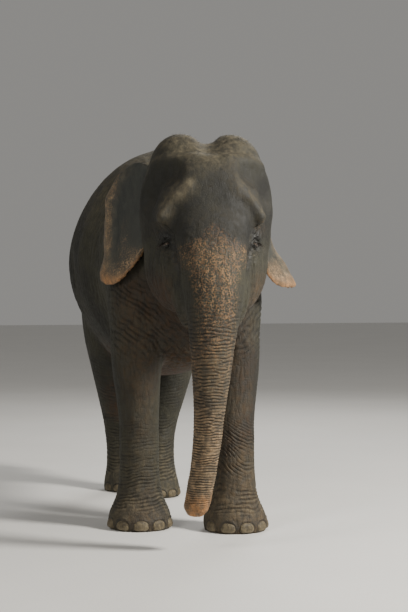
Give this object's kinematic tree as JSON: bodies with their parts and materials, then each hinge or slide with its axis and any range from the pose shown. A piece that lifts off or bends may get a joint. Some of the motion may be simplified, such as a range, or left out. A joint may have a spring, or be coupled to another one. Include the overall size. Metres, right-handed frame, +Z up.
{
  "type": "asian elephant",
  "caption": "Life-size still model of an Asian elephant cow, standing on four flat-soled feet with her trunk hanging, for display.",
  "frame": {"origin": "on the floor, under the middle of the bounding box", "axes": "+Z up, the elephant faces -Y, her left side is +X"},
  "size_m": [1.2352, 3.1008, 2.3915],
  "materials": {
    "skin": "dry, finely wrinkled grey-brown hide with dust, and pink-tan freckled patches on the trunk's base, ears and trunk tip",
    "nail": "worn horn",
    "eye": "wet dark brown",
    "hair": "coarse black bristle"
  },
  "bodies": {
    "root": {"torso": "skin", "neck": "skin", "head": "skin", "lower_jaw": "skin", "trunk_root": "skin", "trunk_upper": "skin", "trunk_middle": "skin", "trunk_lower": "skin", "trunk_tip": "skin", "ear_left": "skin", "ear_right": "skin", "eye_left": "eye", "eye_right": "eye", "fore_leg_left": "skin", "fore_foot_left": "skin", "hind_leg_left": "skin", "hind_foot_left": "skin", "nail_fore_left_1": "nail", "nail_fore_left_2": "nail", "nail_fore_left_3": "nail", "nail_fore_left_4": "nail", "nail_fore_left_5": "nail", "nail_hind_left_1": "nail", "nail_hind_left_2": "nail", "nail_hind_left_3": "nail", "nail_hind_left_4": "nail", "fore_leg_right": "skin", "fore_foot_right": "skin", "hind_leg_right": "skin", "hind_foot_right": "skin", "nail_fore_right_1": "nail", "nail_fore_right_2": "nail", "nail_fore_right_3": "nail", "nail_fore_right_4": "nail", "nail_fore_right_5": "nail", "nail_hind_right_1": "nail", "nail_hind_right_2": "nail", "nail_hind_right_3": "nail", "nail_hind_right_4": "nail", "tail": "skin", "tail_tuft": "hair"}
  },
  "joints": []
}
